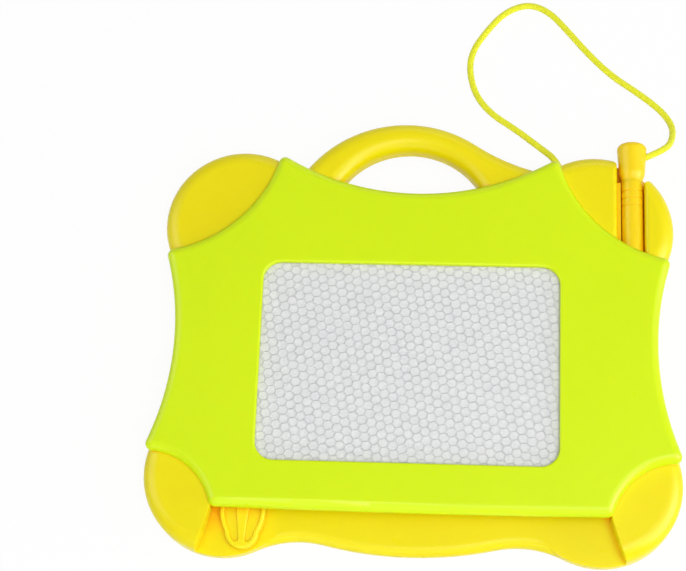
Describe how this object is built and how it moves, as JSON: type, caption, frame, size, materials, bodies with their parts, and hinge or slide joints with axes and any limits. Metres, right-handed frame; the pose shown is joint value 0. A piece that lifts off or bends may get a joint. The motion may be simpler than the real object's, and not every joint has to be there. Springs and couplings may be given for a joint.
{
  "type": "magnetic drawing board",
  "caption": "Flat drawing board with a window over a cell screen, a sliding eraser, a carrying handle and a pen on a cord in a side channel.",
  "frame": {"origin": "under the middle of the board without its cord, on the surface that it lies on", "axes": "+X along the screen towards the pen, +Y towards the carrying handle, +Z out of the screen"},
  "size_m": [0.2002, 0.229, 0.018],
  "materials": {
    "yellow_plastic": "satin moulded, slightly warm yellow",
    "lime_plastic": "satin moulded lime green",
    "orange_plastic": "glossy moulded orange yellow",
    "clear_film": "clear smooth film",
    "white_cells": "translucent white cells",
    "white_seal": "matte adhesive tape",
    "grey_film": "matte pale film",
    "magnet_strip": "matte bonded magnet",
    "magnet_metal": "dull sintered metal",
    "screw_steel": "zinc plated",
    "yellow_cord": "twisted soft cord"
  },
  "bodies": {
    "board": {"main_body": "yellow_plastic", "front_bezel": "lime_plastic", "back_cover": "yellow_plastic", "cover_screws": "screw_steel", "screen_back_film": "grey_film", "screen_cell_sheet": "white_cells", "screen_edge_seal": "white_seal", "screen_front_film": "clear_film", "cord": "yellow_cord", "cord_board_knot": "yellow_cord"},
    "eraser": {"eraser_slider": "orange_plastic", "eraser_magnet": "magnet_strip"},
    "pen": {"pen_barrel": "orange_plastic", "pen_cap": "orange_plastic", "pen_magnet": "magnet_metal", "cord_pen_knot": "yellow_cord"}
  },
  "joints": [
    {"name": "eraser_slide", "type": "slide", "parent": "board", "child": "eraser", "axis": [1, 0, 0], "range_m": [0, 0.1238]},
    {"name": "pen_slide", "type": "slide", "parent": "board", "child": "pen", "axis": [0, 1, 0], "range_m": [0, 0.075]}
  ]
}
